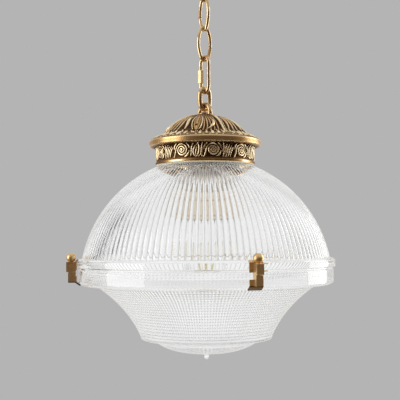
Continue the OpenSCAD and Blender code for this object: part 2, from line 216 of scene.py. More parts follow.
def plain_metal(name, light, dark, rough=(0.18, 0.34), metal=1.0):
    mat, nt, b = new_tree(name)
    vec = coord(nt)
    big = noise(nt, vec, 140.0, 4.0, 0.6)
    sv = coord(nt, (300.0, 300.0, 3200.0))
    lines = noise(nt, sv, 1.0, 3.0, 0.7)
    f = mathn(nt, "MULTIPLY_ADD", mathn(nt, "SUBTRACT", lines, 0.5), 0.4, big, clamp=True)
    nt.links.new(ramp(nt, f, [(0.25, dark), (0.7, light)]), b.inputs["Base Color"])
    nt.links.new(ramp(nt, f, [(0.25, grey(rough[1])), (0.75, grey(rough[0]))]), b.inputs["Roughness"])
    b.inputs["Metallic"].default_value = metal
    nt.links.new(bump(nt, lines, 0.12, 0.0002), b.inputs["Normal"])
    return mat


def dielectric(name, light, dark, rough, scale=300.0, coat=0.0, bump_s=0.1, painted_glow=0.0):
    mat, nt, b = new_tree(name)
    vec = coord(nt)
    n = noise(nt, vec, scale, 5.0, 0.6)
    fine = noise(nt, vec, scale * 7.0, 3.0, 0.6)
    col = ramp(nt, n, [(0.3, dark), (0.7, light)])
    nt.links.new(col, b.inputs["Base Color"])
    # painted light: an emission makes the part glow though it is unlit
    if painted_glow:
        nt.links.new(col, b.inputs["Emission Color"])
        b.inputs["Emission Strength"].default_value = painted_glow
    nt.links.new(ramp(nt, fine, [(0.3, grey(rough[0])), (0.7, grey(rough[1]))]), b.inputs["Roughness"])
    b.inputs["Coat Weight"].default_value = coat
    b.inputs["Coat Roughness"].default_value = 0.08
    nt.links.new(bump(nt, fine, bump_s, 0.0002), b.inputs["Normal"])
    return mat


def glass_material(name, tint, ior=1.5, rough=(0.0, 0.04), wave=0.02, wave_scale=60.0, groove=None, painted_groove_shade=rgb(0.30, 0.295, 0.29)):
    """Clear pressed glass: a slightly wavy skin with a faint haze in places. The grooves between flutes and prisms,
    given as a vertex attribute, are darkened with painted shade."""
    mat, nt, b = new_tree(name)
    vec = coord(nt)
    wavy = noise(nt, vec, wave_scale, 2.0, 0.5)
    haze = noise(nt, vec, 260.0, 3.0, 0.6)
    b.inputs["Transmission Weight"].default_value = 1.0
    b.inputs["IOR"].default_value = ior
    nt.links.new(ramp(nt, haze, [(0.45, grey(rough[0])), (0.8, grey(rough[1]))]), b.inputs["Roughness"])
    col = ramp(nt, wavy, [(0.3, tint), (0.7, tuple(min(1.0, t + 0.012) for t in tint[:3]) + (1.0,))])
    # painted shade: the groove attribute mixes a dark grey into the glass colour in the valleys
    if groove:
        g = attribute(nt, groove)
        soft = mathn(nt, "MULTIPLY_ADD", mathn(nt, "SUBTRACT", haze, 0.5), 0.25, g, clamp=True)
        g = mathn(nt, "MULTIPLY", soft, mathn(nt, "GREATER_THAN", g, 0.01))
        col = mix_col(nt, g, col, painted_groove_shade)
    nt.links.new(col, b.inputs["Base Color"])
    nt.links.new(bump(nt, wavy, wave, 0.0006), b.inputs["Normal"])
    return mat


MAT = {
    "gallery": aged_brass("gallery_cast_brass", rgb(1.0, 0.84, 0.54), rgb(0.58, 0.35, 0.14), rgb(0.055, 0.021, 0.006),
                          rough=(0.14, 0.36), wear_shade_attr="wear_and_shade"),
    "antique_brass": aged_brass("antique_brass_metal", rgb(0.80, 0.62, 0.34), rgb(0.46, 0.31, 0.14), rgb(0.14, 0.075, 0.028),
                                rough=(0.20, 0.34), patina=0.44, streak=True),
    "loop_brass": aged_brass("loop_brass_metal", rgb(0.80, 0.62, 0.36), rgb(0.47, 0.29, 0.14), rgb(0.14, 0.065, 0.028),
                             rough=(0.16, 0.30), patina=0.56, grain=0.5),
    "chain_brass": aged_brass("chain_brass_metal", rgb(0.86, 0.69, 0.41), rgb(0.56, 0.36, 0.17), rgb(0.20, 0.09, 0.035),
                              rough=(0.13, 0.25), patina=0.46, grain=0.35),
    "nut_brass": aged_brass("nut_brass_metal", rgb(0.86, 0.70, 0.42), rgb(0.68, 0.48, 0.24), rgb(0.38, 0.23, 0.10),
                            rough=(0.46, 0.58), patina=0.42, grain=0.35),
    "clip_brass": aged_brass("clip_brass_metal", rgb(0.95, 0.70, 0.36), rgb(0.74, 0.48, 0.22), rgb(0.40, 0.22, 0.085),
                             rough=(0.34, 0.48), patina=0.46),
    # the lower jaws get painted shade below the bowl's flange
    "jaw_brass": aged_brass("jaw_brass_metal", rgb(0.95, 0.70, 0.36), rgb(0.74, 0.48, 0.22), rgb(0.40, 0.22, 0.085),
                            rough=(0.34, 0.48), patina=0.46, shade_below=(ZR - 17.2) * MM),
    "bright_brass": aged_brass("bright_brass_metal", rgb(0.86, 0.75, 0.60), rgb(0.66, 0.52, 0.38), rgb(0.30, 0.21, 0.13),
                               rough=(0.16, 0.30), patina=0.34),
    "steel": plain_metal("steel_metal", rgb(0.62, 0.62, 0.61), rgb(0.36, 0.36, 0.36)),
    "plate_nickel": plain_metal("plate_nickel_metal", rgb(0.96, 0.92, 0.88), rgb(0.86, 0.81, 0.76), rough=(0.34, 0.48), metal=0.25),
    "nickel": plain_metal("nickel_metal", rgb(0.88, 0.83, 0.78), rgb(0.74, 0.68, 0.62), rough=(0.28, 0.42), metal=0.5),
    "pressed_glass": glass_material("pressed_glass_clear", rgb(0.974, 0.978, 0.976), groove="groove", painted_groove_shade=rgb(0.12, 0.118, 0.115)),
    "pressed_glass_low": glass_material("pressed_glass_prismatic", rgb(0.980, 0.984, 0.982), groove="groove", painted_groove_shade=rgb(0.07, 0.068, 0.066)),
    "bulb_clear_glass": glass_material("bulb_glass_clear", rgb(0.985, 0.985, 0.985), ior=1.47, rough=(0.0, 0.02), wave=0.01),
    "black_glass": dielectric("black_glass_insulator", rgb(0.03, 0.028, 0.03), rgb(0.012, 0.012, 0.014), (0.08, 0.2), 500.0, coat=0.6),
    # the unlit filaments glow with painted light
    "phosphor": dielectric("yellow_phosphor", rgb(1.0, 0.90, 0.60), rgb(0.98, 0.84, 0.48), (0.45, 0.65), 900.0, bump_s=0.25, painted_glow=0.22),
    "porcelain": dielectric("glazed_porcelain", rgb(0.86, 0.85, 0.81), rgb(0.78, 0.77, 0.72), (0.12, 0.26), 260.0, coat=0.7, bump_s=0.04),
    "pale_rubber": dielectric("pale_rubber_skin", rgb(0.90, 0.87, 0.83), rgb(0.80, 0.77, 0.73), (0.55, 0.75), 800.0, bump_s=0.2),
    "clear_rubber": glass_material("clear_rubber_skin", rgb(0.985, 0.985, 0.98), ior=1.45, rough=(0.03, 0.08), wave=0.02),
}


# ------------------------------------------------------------------ mesh helpers
def make_mesh(name, verts, faces, material, sharp_deg=34.0, attrs=None, body=None, replaces=()):
    """verts (n,3) in mm with h as z. faces is a list of int arrays, (k,4) or (k,3)."""
    v = np.asarray(verts, dtype=np.float64).copy()
    v[:, 2] += ZR
    v *= MM
    me = bpy.data.meshes.new(name)
    me.vertices.add(len(v))
    me.vertices.foreach_set("co", v.astype(np.float32).ravel())
    idx = np.concatenate([f.ravel() for f in faces]).astype(np.int32)
    sizes = np.concatenate([np.full(len(f), f.shape[1], np.int32) for f in faces])
    starts = np.concatenate([[0], np.cumsum(sizes)[:-1]]).astype(np.int32)
    me.loops.add(len(idx))
    me.loops.foreach_set("vertex_index", idx)
    me.polygons.add(len(sizes))
    me.polygons.foreach_set("loop_start", starts)
    me.update(calc_edges=True)
    me.validate()
    me.polygons.foreach_set("use_smooth", np.ones(len(me.polygons), dtype=bool))
    if sharp_deg:
        me.set_sharp_from_angle(angle=math.radians(sharp_deg))
    for key, val in (attrs or {}).items():
        a = me.attributes.new(key, "FLOAT", "POINT")
        a.data.foreach_set("value", np.asarray(val, dtype=np.float32))
    me.materials.append(material)
    ob = bpy.data.objects.new(name, me)
    bpy.context.scene.collection.objects.link(ob)
    if body:
        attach(ob, body)
    for node in replaces:
        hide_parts(node)
    return ob


def skin(rows, closed=True, flip=False):
    """rows: list of (r array, h array[, attribute array]) whose lengths may differ by whole ratios; a row of length 1 is
    a pole on the axis. Returns verts, faces, attribute."""
    verts, att, start = [], [], []
    n = 0
    for row in rows:
        r, h = np.atleast_1d(row[0]).astype(float), np.atleast_1d(row[1]).astype(float)
        m = max(len(r), len(h))
        r, h = np.broadcast_to(r, m), np.broadcast_to(h, m)
        a = 2 * np.pi * np.arange(m) / m
        if len(row) > 3:
            a = a + np.broadcast_to(np.asarray(row[3], float), m)
        verts.append(np.stack([r * np.cos(a), r * np.sin(a), h], 1))
        att.append(np.broadcast_to(np.asarray(row[2], float), m) if len(row) > 2 and row[2] is not None else np.zeros(m))
        start.append((n, m))
        n += m
    quads, tris = [], []
    pairs = list(zip(start[:-1], start[1:])) + ([(start[-1], start[0])] if closed else [])
    for (s0, m0), (s1, m1) in pairs:
        if m0 == 1 and m1 == 1:
            continue
        if m0 == 1:
            j = np.arange(m1)
            tris.append(np.stack([np.full(m1, s0), s1 + j, s1 + (j + 1) % m1], 1))
        elif m1 == 1:
            j = np.arange(m0)
            tris.append(np.stack([s0 + (j + 1) % m0, s0 + j, np.full(m0, s1)], 1))
        elif m0 == m1:
            j = np.arange(m0)
            quads.append(np.stack([s0 + j, s1 + j, s1 + (j + 1) % m0, s0 + (j + 1) % m0], 1))
        else:
            big, small = max(m0, m1), min(m0, m1)
            k = big // small
            cs, fs = (s0, s1) if m0 < m1 else (s1, s0)
            half = k // 2
            t = []
            j = np.arange(small)
            for i in range(k):
                f0, f1 = fs + (j * k + i) % big, fs + (j * k + i + 1) % big
                c = cs + (j if i < half else (j + 1) % small)
                t.append(np.stack([c, f0, f1], 1))
            t.append(np.stack([cs + j, fs + (j * k + half) % big, cs + (j + 1) % small], 1))
            t = np.concatenate(t)
            if m0 > m1:
                t = t[:, ::-1]
            tris.append(t)
    faces = []
    if quads:
        q = np.concatenate(quads)
        faces.append(q[:, ::-1] if flip else q)
    if tris:
        t = np.concatenate(tris)
        faces.append(t[:, ::-1] if flip else t)
    return np.concatenate(verts), faces, np.concatenate(att)


def bez(p0, p1, p2, p3, t):
    t = np.asarray(t, float)[:, None]
    p0, p1, p2, p3 = (np.asarray(p, float) for p in (p0, p1, p2, p3))
    return (1 - t) ** 3 * p0 + 3 * (1 - t) ** 2 * t * p1 + 3 * (1 - t) * t ** 2 * p2 + t ** 3 * p3


def profile_normals(p):
    """Unit normals of a polyline, to the right of its direction."""
    d = np.gradient(p, axis=0)
    n = np.stack([d[:, 1], -d[:, 0]], 1)
    return n / np.linalg.norm(n, axis=1, keepdims=True)


def resample(p, step):
    p = np.asarray(p, float)
    seg = np.linalg.norm(np.diff(p, axis=0), axis=1)
    s = np.concatenate([[0], np.cumsum(seg)])
    n = max(2, int(round(s[-1] / step)) + 1)
    t = np.linspace(0, s[-1], n)
    return np.stack([np.interp(t, s, p[:, 0]), np.interp(t, s, p[:, 1])], 1), t


# ------------------------------------------------------------------ upper glass
def build_dome():
    N, K = 132, 8
    M = N * K
    u = (np.arange(M) % K) / K
    rib = (2 * u - 1) ** 2          # 0 on a rib's crest, 1 in the valley
    # line marks each flute's valley, and faintly the cells beside it, for painted groove shade
    line = np.where(np.arange(M) % K == 0, 1.0, 0.0) + np.where((np.arange(M) % K == 1) | (np.arange(M) % K == K - 1), 0.22, 0.0)
    R, hc, Ri = 171.0, -19.5, 166.0
    rows = []
    # neck seat, from the hole outwards, then the fluted outside down to the flange
    # the faces against gaskets stand 0.06 off them, so that no two surfaces coincide
    rows.append((np.full(M, 49.0), np.full(M, 138.44)))
    rows.append((np.full(M, 60.0), np.full(M, 138.44)))
    rows.append((np.full(M, 64.2), np.full(M, 138.44)))
    h_top, h_low = 137.9, 13.6
    a0 = math.acos((h_top - hc) / R)
    a1 = math.acos((h_low - hc) / R)
    for a in np.linspace(a0, a1, 44):
        r, h = R * math.sin(a), hc + R * math.cos(a)
        pitch = 2 * math.pi * r / N
        d = 0.135 * pitch
        d *= min(1.0, max(0.0, (r - 63.5) / 3.0))
        d *= 0.50 + 0.50 * min(1.0, max(0.0, (h - 13.6) / 2.0))
        rows.append((r - d * rib * math.sin(a), h - d * rib * math.cos(a), 0.62 * line))
    # flange: small shelf, chamfer, rim and underside
    # dot and the g values put painted groove shade on the flange's shelf and underside
    dot = np.where(np.arange(M) % 4 == 0, 1.0, 0.0)
    for r, h, g in ((169.0, 13.05, 0.05), (170.9, 13.0, 0), (171.7, 12.8, 0), (172.6, 12.1, 0), (174.2, 10.7, 0), (174.8, 10.0, 0), (174.94, 9.4, 0),
                    (174.94, 2.4, 0), (174.75, 1.7, 0.12), (174.2, 1.05, 0.2), (173.6, 0.86, 0), (165.2, 0.86, 0), (164.8, 1.05, 0)):
        rows.append((np.full(M, r), np.full(M, h), g * (0.4 + 0.6 * dot)))
    # smooth inside, back up to the neck
    b0 = math.acos((2.2 - hc) / Ri)
    b1 = math.acos((132.5 - hc) / Ri)
    for a in np.linspace(b0, b1, 15):
        rows.append((np.full(M, Ri * math.sin(a)), np.full(M, hc + Ri * math.cos(a))))
    for r, h in ((63.4, 133.56), (52.0, 133.56), (49.6, 133.75), (49.0, 134.3), (49.0, 137.9)):
        rows.append((np.full(M, r), np.full(M, h)))
    v, f, att = skin(rows, closed=True)
    return make_mesh("glass_dome_fluted", v, f, MAT["pressed_glass"], 40.0, attrs={"groove": att}, body="lamp", replaces=["glass_dome"])


# ------------------------------------------------------------------ lower glass
def build_bowl():
    NI, KI = 200, 3
    MI = NI * KI
    MO = 400                         # 4 per flute of the wall, 5 per flute of the dish
    u = (np.arange(MI) % KI) / KI
    rib = (2 * u - 1) ** 2
    ud = (np.arange(MO) % 5) / 5
    ribd = (2 * ud - 1) ** 2
    # even and dish_line mark valleys for painted groove shade; the g values below set how dark it is
    even = np.where(np.arange(MO) % 2 == 0, 1.0, 0.0)
    dish_line = np.where(np.arange(MO) % 5 == 0, 1.0, 0.0)
    rows = []

    def o(r, h, m=MO, g=0.0):
        rows.append((np.full(m, float(r)), np.full(m, float(h)), g))

    # outside, from the rim joint down. The rim is plain.
    o(165.5, -0.86); o(170.9, -0.86); o(171.6, -1.05); o(172.2, -1.6); o(172.4, -2.3)
    o(172.4, -18.2); o(172.25, -18.9); o(171.6, -19.7); o(170.4, -20.3); o(168.6, -21.2); o(167.6, -21.9); o(166.0, -22.3)
    o(159.4, -22.8); o(156.4, -23.0, g=0.25 * even); o(151.4, -23.6, g=0.15 * even); o(148.6, -24.3)
    wall = bez((146.5, -25.6), (117, -46), (97.5, -72), (89.2, -93.5), np.linspace(0, 1, 400))
    wall, s = resample(wall, 0.25)
    nrm = profile_normals(wall)
    if nrm[len(nrm) // 2, 0] < 0:
        nrm = -nrm
    ridges = 19
    L = s[-1]
    for k in range(ridges):
        for x, g in ((0.0, 1.0), (0.20, 0.0), (0.52, 0.0), (0.82, 0.0)):
            t = (k + x) / ridges * L
            p = np.array([np.interp(t, s, wall[:, 0]), np.interp(t, s, wall[:, 1])])
            n = np.array([np.interp(t, s, nrm[:, 0]), np.interp(t, s, nrm[:, 1])])
            y = (x - 0.56) / (0.56 if x < 0.56 else 0.44)
            d = (0.56 - 0.20 * t / L) * y * y
            p = p - n * d
            o(p[0], p[1], g=g * even)
    o(89.2, -93.5, g=0.6 * even)
    # foot ring, then the dish
    for r, h, g in ((88.9, -94.6, 0), (88.2, -95.5, 0), (86.4, -96.0, 0.08), (80.0, -97.3, 0), (75.5, -98.2, 0), (70.6, -99.6, 0), (69.4, -100.1, 0.15)):
        o(r, h, g=g)
    dish = bez((66.5, -101.3), (60, -107.5), (38, -116), (0, -116.4), np.linspace(0, 0.93, 14))
    ndish = profile_normals(dish)
    if ndish[0, 0] < 0:
        ndish = -ndish
    for i, (r, h) in enumerate(dish):
        d = 0.17 * 2 * math.pi * r / 80 * min(1.0, max(0.0, (r - 7.0) / 8.0)) * min(1.0, i / 1.0)
        rows.append((r - ndish[i, 0] * d * ribd, h - ndish[i, 1] * d * ribd, (1.0 if r > 14 else 0.4) * dish_line * min(1.0, i / 1.0)))
    for r, h in ((6.4, -116.9), (4.9, -117.2), (4.0, -117.7), (3.3, -118.3), (2.95, -118.9), (2.9, -119.4), (3.1, -119.9), (3.4, -120.5),
                 (3.42, -121.1), (3.3, -121.7), (3.0, -122.3), (2.5, -123.0), (1.9, -123.8), (1.2, -124.3), (0.5, -124.7)):
        o(r, h, 40)
    rows.append((np.zeros(1), np.array([-124.8])))
    # inside, from the dish's centre out and up. The dish is smooth, the wall is fluted.
    rows.append((np.zeros(1), np.array([-111.4])))
    inner_dish = bez((64, -96.6), (57, -102.6), (36, -111), (0, -111.4), np.linspace(0.93, 0, 12))
    for r, h in inner_dish:
        rows.append((np.full(MI, r), np.full(MI, h)))
    for r, h in ((66.5, -95.5), (70.0, -94.6), (78.0, -92.4), (81.6, -91.2)):
        rows.append((np.full(MI, r), np.full(MI, h)))
    iw = bez((141.6, -22.6), (112.6, -42.6), (92.4, -68.6), (84.2, -89.4), np.linspace(1, 0, 300))
    iw, si = resample(iw, 3.9)
    ni = profile_normals(iw)
    if ni[len(ni) // 2, 1] < 0:      # towards the inside, which is up and in
        ni = -ni
    for i, (r, h) in enumerate(iw):
        pitch = 2 * math.pi * r / NI
        d = 0.17 * pitch * min(1.0, i / 1.5)
        rows.append((r - ni[i, 0] * d * rib, h - ni[i, 1] * d * rib))
    # inside of the rim: the flutes go on, crossed by small ridges
    up = np.array([(145.2, -20.2), (149.0, -17.8), (152.6, -14.1), (156.0, -10.4), (157.6, -6.6), (159.0, -2.8), (159.4, -1.4)])
    up, su = resample(up, 0.1)
    nu = profile_normals(up)
    if nu[len(nu) // 2, 0] > 0:
        nu = -nu
    LU = su[-1]
    nr = 7
    # three marks the grooves between the small ridges for painted groove shade
    three = np.where(np.arange(MI) % 3 == 0, 1.0, 0.0)
    for k in range(nr):
        for x in (0.0, 0.33, 0.67):
            t = (k + x) / nr * LU
            p = np.array([np.interp(t, su, up[:, 0]), np.interp(t, su, up[:, 1])])
            n = np.array([np.interp(t, su, nu[:, 0]), np.interp(t, su, nu[:, 1])])
            pitch = 2 * math.pi * p[0] / NI
            d = 0.06 * pitch * rib + 0.26 * (2 * x - 1) ** 2
            rows.append((p[0] - n[0] * d, p[1] - n[1] * d, (0.45 if x == 0.0 else 0.0) * three))
    rows.append((np.full(MI, 159.6), np.full(MI, -1.0)))
    rows.append((np.full(MI, 160.4), np.full(MI, -0.86)))
    rows.append((np.full(200, 163.0), np.full(200, -0.86)))
    v, f, att = skin(rows, closed=True)
    return make_mesh("glass_bowl_prismatic", v, f, MAT["pressed_glass_low"], 40.0, attrs={"groove": att}, body="lamp", replaces=["glass_bowl"])


# ------------------------------------------------------------------ relief drawing
def draw(H, X, Y, pts, w, top, power=0.5):
    """Raises H (a grid at X, Y) to a rounded ridge along a polyline; w and top are given at the points, or along it."""
    pts = np.asarray(pts, float)
    n = len(pts)
    t = np.linspace(0, 1, n)
    w = np.interp(t, np.linspace(0, 1, len(np.atleast_1d(w))), np.atleast_1d(w)) if np.ndim(w) else np.full(n, float(w))
    top = np.interp(t, np.linspace(0, 1, len(np.atleast_1d(top))), np.atleast_1d(top)) if np.ndim(top) else np.full(n, float(top))
    best = np.zeros_like(H)
    for i in range(n - 1):
        a, b = pts[i], pts[i + 1]
        d = b - a
        L2 = float(d @ d) or 1e-9
        q = np.clip(((X - a[0]) * d[0] + (Y - a[1]) * d[1]) / L2, 0, 1)
        dist2 = (X - a[0] - q * d[0]) ** 2 + (Y - a[1] - q * d[1]) ** 2
        ww = w[i] + (w[i + 1] - w[i]) * q
        tt = top[i] + (top[i + 1] - top[i]) * q
        val = tt * np.clip(1 - dist2 / np.maximum(ww, 1e-3) ** 2, 0, 1) ** power
        best = np.maximum(best, val)
    np.maximum(H, best, out=H)


def curve(p0, p1, p2, p3, n=10):
    return bez(p0, p1, p2, p3, np.linspace(0, 1, n))


def spiral(cx, cy, r0, r1, turns, start, n=44, sign=1):
    t = np.linspace(0, 1, n)
    a = start + sign * t * turns * 2 * np.pi
    r = r0 + (r1 - r0) * t
    return np.stack([cx + r * np.cos(a), cy + r * np.sin(a)], 1)


def dots(H, X, Y, centres, rad, top):
    for cx, cy in centres:
        d2 = ((X - cx) ** 2 + (Y - cy) ** 2) / rad ** 2
        np.maximum(H, top * np.sqrt(np.clip(1 - d2, 0, 1)), out=H)


def leaf(H, X, Y, base, tip, bend, width, top, lobes=5, rib=True):
    """An acanthus-like leaf: lobes spring from a bent midrib on both sides and turn towards the tip."""
    base, tip = np.asarray(base, float), np.asarray(tip, float)
    ax = tip - base
    L = np.linalg.norm(ax)
    e = ax / L
    nn = np.array([-e[1], e[0]])
    mid = [base + e * L * t + nn * bend * 4 * t * (1 - t) for t in np.linspace(0, 1, 13)]
    mid = np.array(mid)
    # body of the leaf, low and broad
    draw(H, X, Y, mid, [width * 0.45, width * 0.8, width * 0.72, width * 0.45, 0.5], [top * 0.35, top * 0.5, top * 0.45, top * 0.35, top * 0.2], 0.7)
    for side in (-1, 1):
        for k in range(lobes):
            t = 0.10 + 0.70 * k / max(1, lobes - 1)
            p = base + e * L * t + nn * bend * 4 * t * (1 - t)
            reach = width * (0.62 + 0.52 * math.sin(math.pi * (0.22 + 0.66 * t)))
            q1 = p + e * L * 0.05 + nn * side * reach * 0.45
            q2 = p + e * L * 0.15 + nn * side * reach * 0.95
            q3 = p + e * L * 0.27 + nn * side * reach * 0.98
            c = curve(p, q1, q2, q3, 7)
            lw = width * 0.19
            draw(H, X, Y, c, [lw * 0.5, lw, lw * 1.15, lw * 0.55], [top * 0.75, top * 0.9, top, top * 0.8], 0.6)
    if rib:
        draw(H, X, Y, mid, [width * 0.12, width * 0.13, width * 0.08], [top * 0.9, top * 1.05, top * 1.1], 0.5)


def blur(a, rx, ry):
    """Box blur, wrapping round the ring (axis 1) and held at the ends (axis 0)."""
    out = a.copy()
    acc = np.zeros_like(a)
    for k in range(-rx, rx + 1):
        acc += np.roll(out, k, axis=1)
    out = acc / (2 * rx + 1)
    pad = np.pad(out, ((ry, ry), (0, 0)), mode="edge")
    acc = np.zeros_like(a)
    for k in range(2 * ry + 1):
        acc += pad[k:k + a.shape[0]]
    return acc / (2 * ry + 1)


# ------------------------------------------------------------------ gallery relief
PITCH = 42.03                        # from one scroll of the frieze to the next


def bigleaf(H, X, Y, spine, w, top, veins=2.0, depth=0.4, notch=0.0):
    """A fleshy leaf: a rounded body along a bent spine, scored by veins that run with it. notch cuts lobes into its edge."""
    spine = np.asarray(spine, float)
    n = len(spine)
    t = np.linspace(0, 1, n)
    wv = np.interp(t, np.linspace(0, 1, len(w)), w)
    tv = np.interp(t, np.linspace(0, 1, len(top)), top)
    seg = np.concatenate([[0], np.cumsum(np.linalg.norm(np.diff(spine, axis=0), axis=1))])
    best = np.full(X.shape, 1e9)
    su, st, sw, sl = (np.zeros_like(X) for _ in range(4))
    for i in range(n - 1):
        a, b = spine[i], spine[i + 1]
        d = b - a
        L2 = float(d @ d) or 1e-9
        q = np.clip(((X - a[0]) * d[0] + (Y - a[1]) * d[1]) / L2, 0, 1)
        px, py = X - a[0] - q * d[0], Y - a[1] - q * d[1]
        dist = np.hypot(px, py)
        hit = dist < best
        best = np.where(hit, dist, best)
        su = np.where(hit, np.sign(d[0] * py - d[1] * px) * dist, su)
        sw = np.where(hit, wv[i] + (wv[i + 1] - wv[i]) * q, sw)
        st = np.where(hit, tv[i] + (tv[i + 1] - tv[i]) * q, st)
        sl = np.where(hit, seg[i] + (seg[i + 1] - seg[i]) * q, sl)
    width = np.maximum(sw, 1e-3) * (1 - notch * (0.5 - 0.5 * np.cos(2 * np.pi * sl / 3.4)))
    u = su / width
    body = np.clip(1 - u * u, 0, 1) ** 0.5
    val = st * body * (1 - depth * (0.5 - 0.5 * np.cos(2 * np.pi * veins * u)))
    np.maximum(H, val, out=H)


def frieze_unit(X, Y):
    """Relief of two scrolls and the leaves between them, over 84 mm of the frieze. X runs along the band and Y up it,
    from 0 at its foot to 18.8 under the ring."""
    H = np.zeros_like(X)
    flat = 0.36
    for m in (-1, 0, 1, 2):
        c, cy = m * PITCH + 11.0, 9.6
        sp = spiral(c, cy, 8.3, 2.1, 1.95, math.radians(135), 64, -1)
        draw(H, X, Y, sp, [0.9, 1.25, 1.25, 1.2], [1.3, 1.55, 1.55, 1.5], flat)
        # the scroll ends in a thick hook
        draw(H, X, Y, spiral(c, cy, 2.2, 0.3, 0.55, math.radians(135 - 1.95 * 360), 12, -1), [1.2, 1.5, 1.7], [1.55, 1.65, 1.7], flat)
        # the scroll's stem comes up from the foot at its left
        draw(H, X, Y, curve((c - 5.9, cy + 5.9), (c - 9.6, cy + 3.0), (c - 8.6, cy - 4.8), (c - 12.2, cy - 9.0), 12), [0.95, 1.25, 1.2, 0.8], [1.35, 1.55, 1.5, 1.2], flat)
        # a small leaf fills the corner above the stem, another the foot on the right
        draw(H, X, Y, curve((c - 7.8, 17.9), (c - 10.6, 16.4), (c - 11.8, 13.4), (c - 11.6, 9.0), 10), [0.6, 1.35, 1.2, 0.4], [1.1, 1.5, 1.4, 1.0], flat)
        draw(H, X, Y, curve((c + 4.2, 0.9), (c + 7.6, 1.7), (c + 9.8, 4.2), (c + 10.6, 8.6), 10), [0.6, 1.35, 1.35, 0.45], [1.1, 1.5, 1.5, 1.0], flat)
        draw(H, X, Y, curve((c + 6.4, 17.9), (c + 9.6, 16.8), (c + 10.8, 14.2), (c + 10.6, 11.0), 9), [0.5, 1.2, 1.1, 0.4], [1.1, 1.5, 1.4, 1.0], flat)
        b = c + 0.5 * PITCH
        if m % 2 == 0:
            # an upright pointed bud between sepals, and two stems that cross beside it
            draw(H, X, Y, curve((b - 2.0, 0.7), (b - 7.0, 5.6), (b - 4.6, 12.4), (b + 1.0, 17.9), 13), [0.9, 1.4, 1.3, 0.6], [1.35, 1.65, 1.65, 1.3], flat)
            draw(H, X, Y, curve((b - 0.6, 0.7), (b + 3.6, 5.0), (b + 3.8, 11.8), (b + 1.3, 17.9), 13), [0.9, 1.4, 1.25, 0.6], [1.35, 1.65, 1.65, 1.3], flat)
            draw(H, X, Y, curve((b - 1.3, 2.0), (b - 1.9, 6.4), (b - 1.1, 10.0), (b + 0.6, 14.6), 9), [0.6, 1.2, 1.05, 0.4], [1.1, 1.5, 1.5, 1.0], flat)
            draw(H, X, Y, curve((b + 2.0, 0.8), (b + 8.4, 4.4), (b + 4.4, 10.6), (b + 7.2, 17.8), 12), [0.7, 1.2, 1.2, 0.6], [1.2, 1.5, 1.5, 1.2], flat)
            draw(H, X, Y, curve((b + 6.8, 0.8), (b + 4.6, 5.6), (b + 8.4, 10.8), (b + 8.6, 14.0), 10), [0.6, 1.1, 1.0, 0.4], [1.1, 1.45, 1.4, 1.0], flat)
            draw(H, X, Y, curve((b - 5.0, 17.8), (b - 8.8, 13.0), (b - 6.0, 6.2), (b - 8.6, 0.9), 12), [0.5, 1.2, 1.2, 0.6], [1.2, 1.5, 1.5, 1.2], flat)
        else:
            # a slanted leaf of long lobes
            for k in range(4):
                x0 = b - 6.9 + 3.15 * k
                draw(H, X, Y, curve((x0, 0.8), (x0 + 0.2, 6.2), (x0 + 2.4, 11.0), (x0 + 5.0 + 0.2 * k, 17.5 - 1.2 * k), 12),
                     [0.7, 1.35, 1.3, 0.45], [1.2, 1.6, 1.6, 1.1], flat)
            draw(H, X, Y, curve((b - 7.4, 17.8), (b - 5.8, 15.0), (b - 6.2, 10.6), (b - 8.0, 6.6), 10), [0.5, 1.15, 1.15, 0.5], [1.1, 1.5, 1.5, 1.1], flat)
    return H


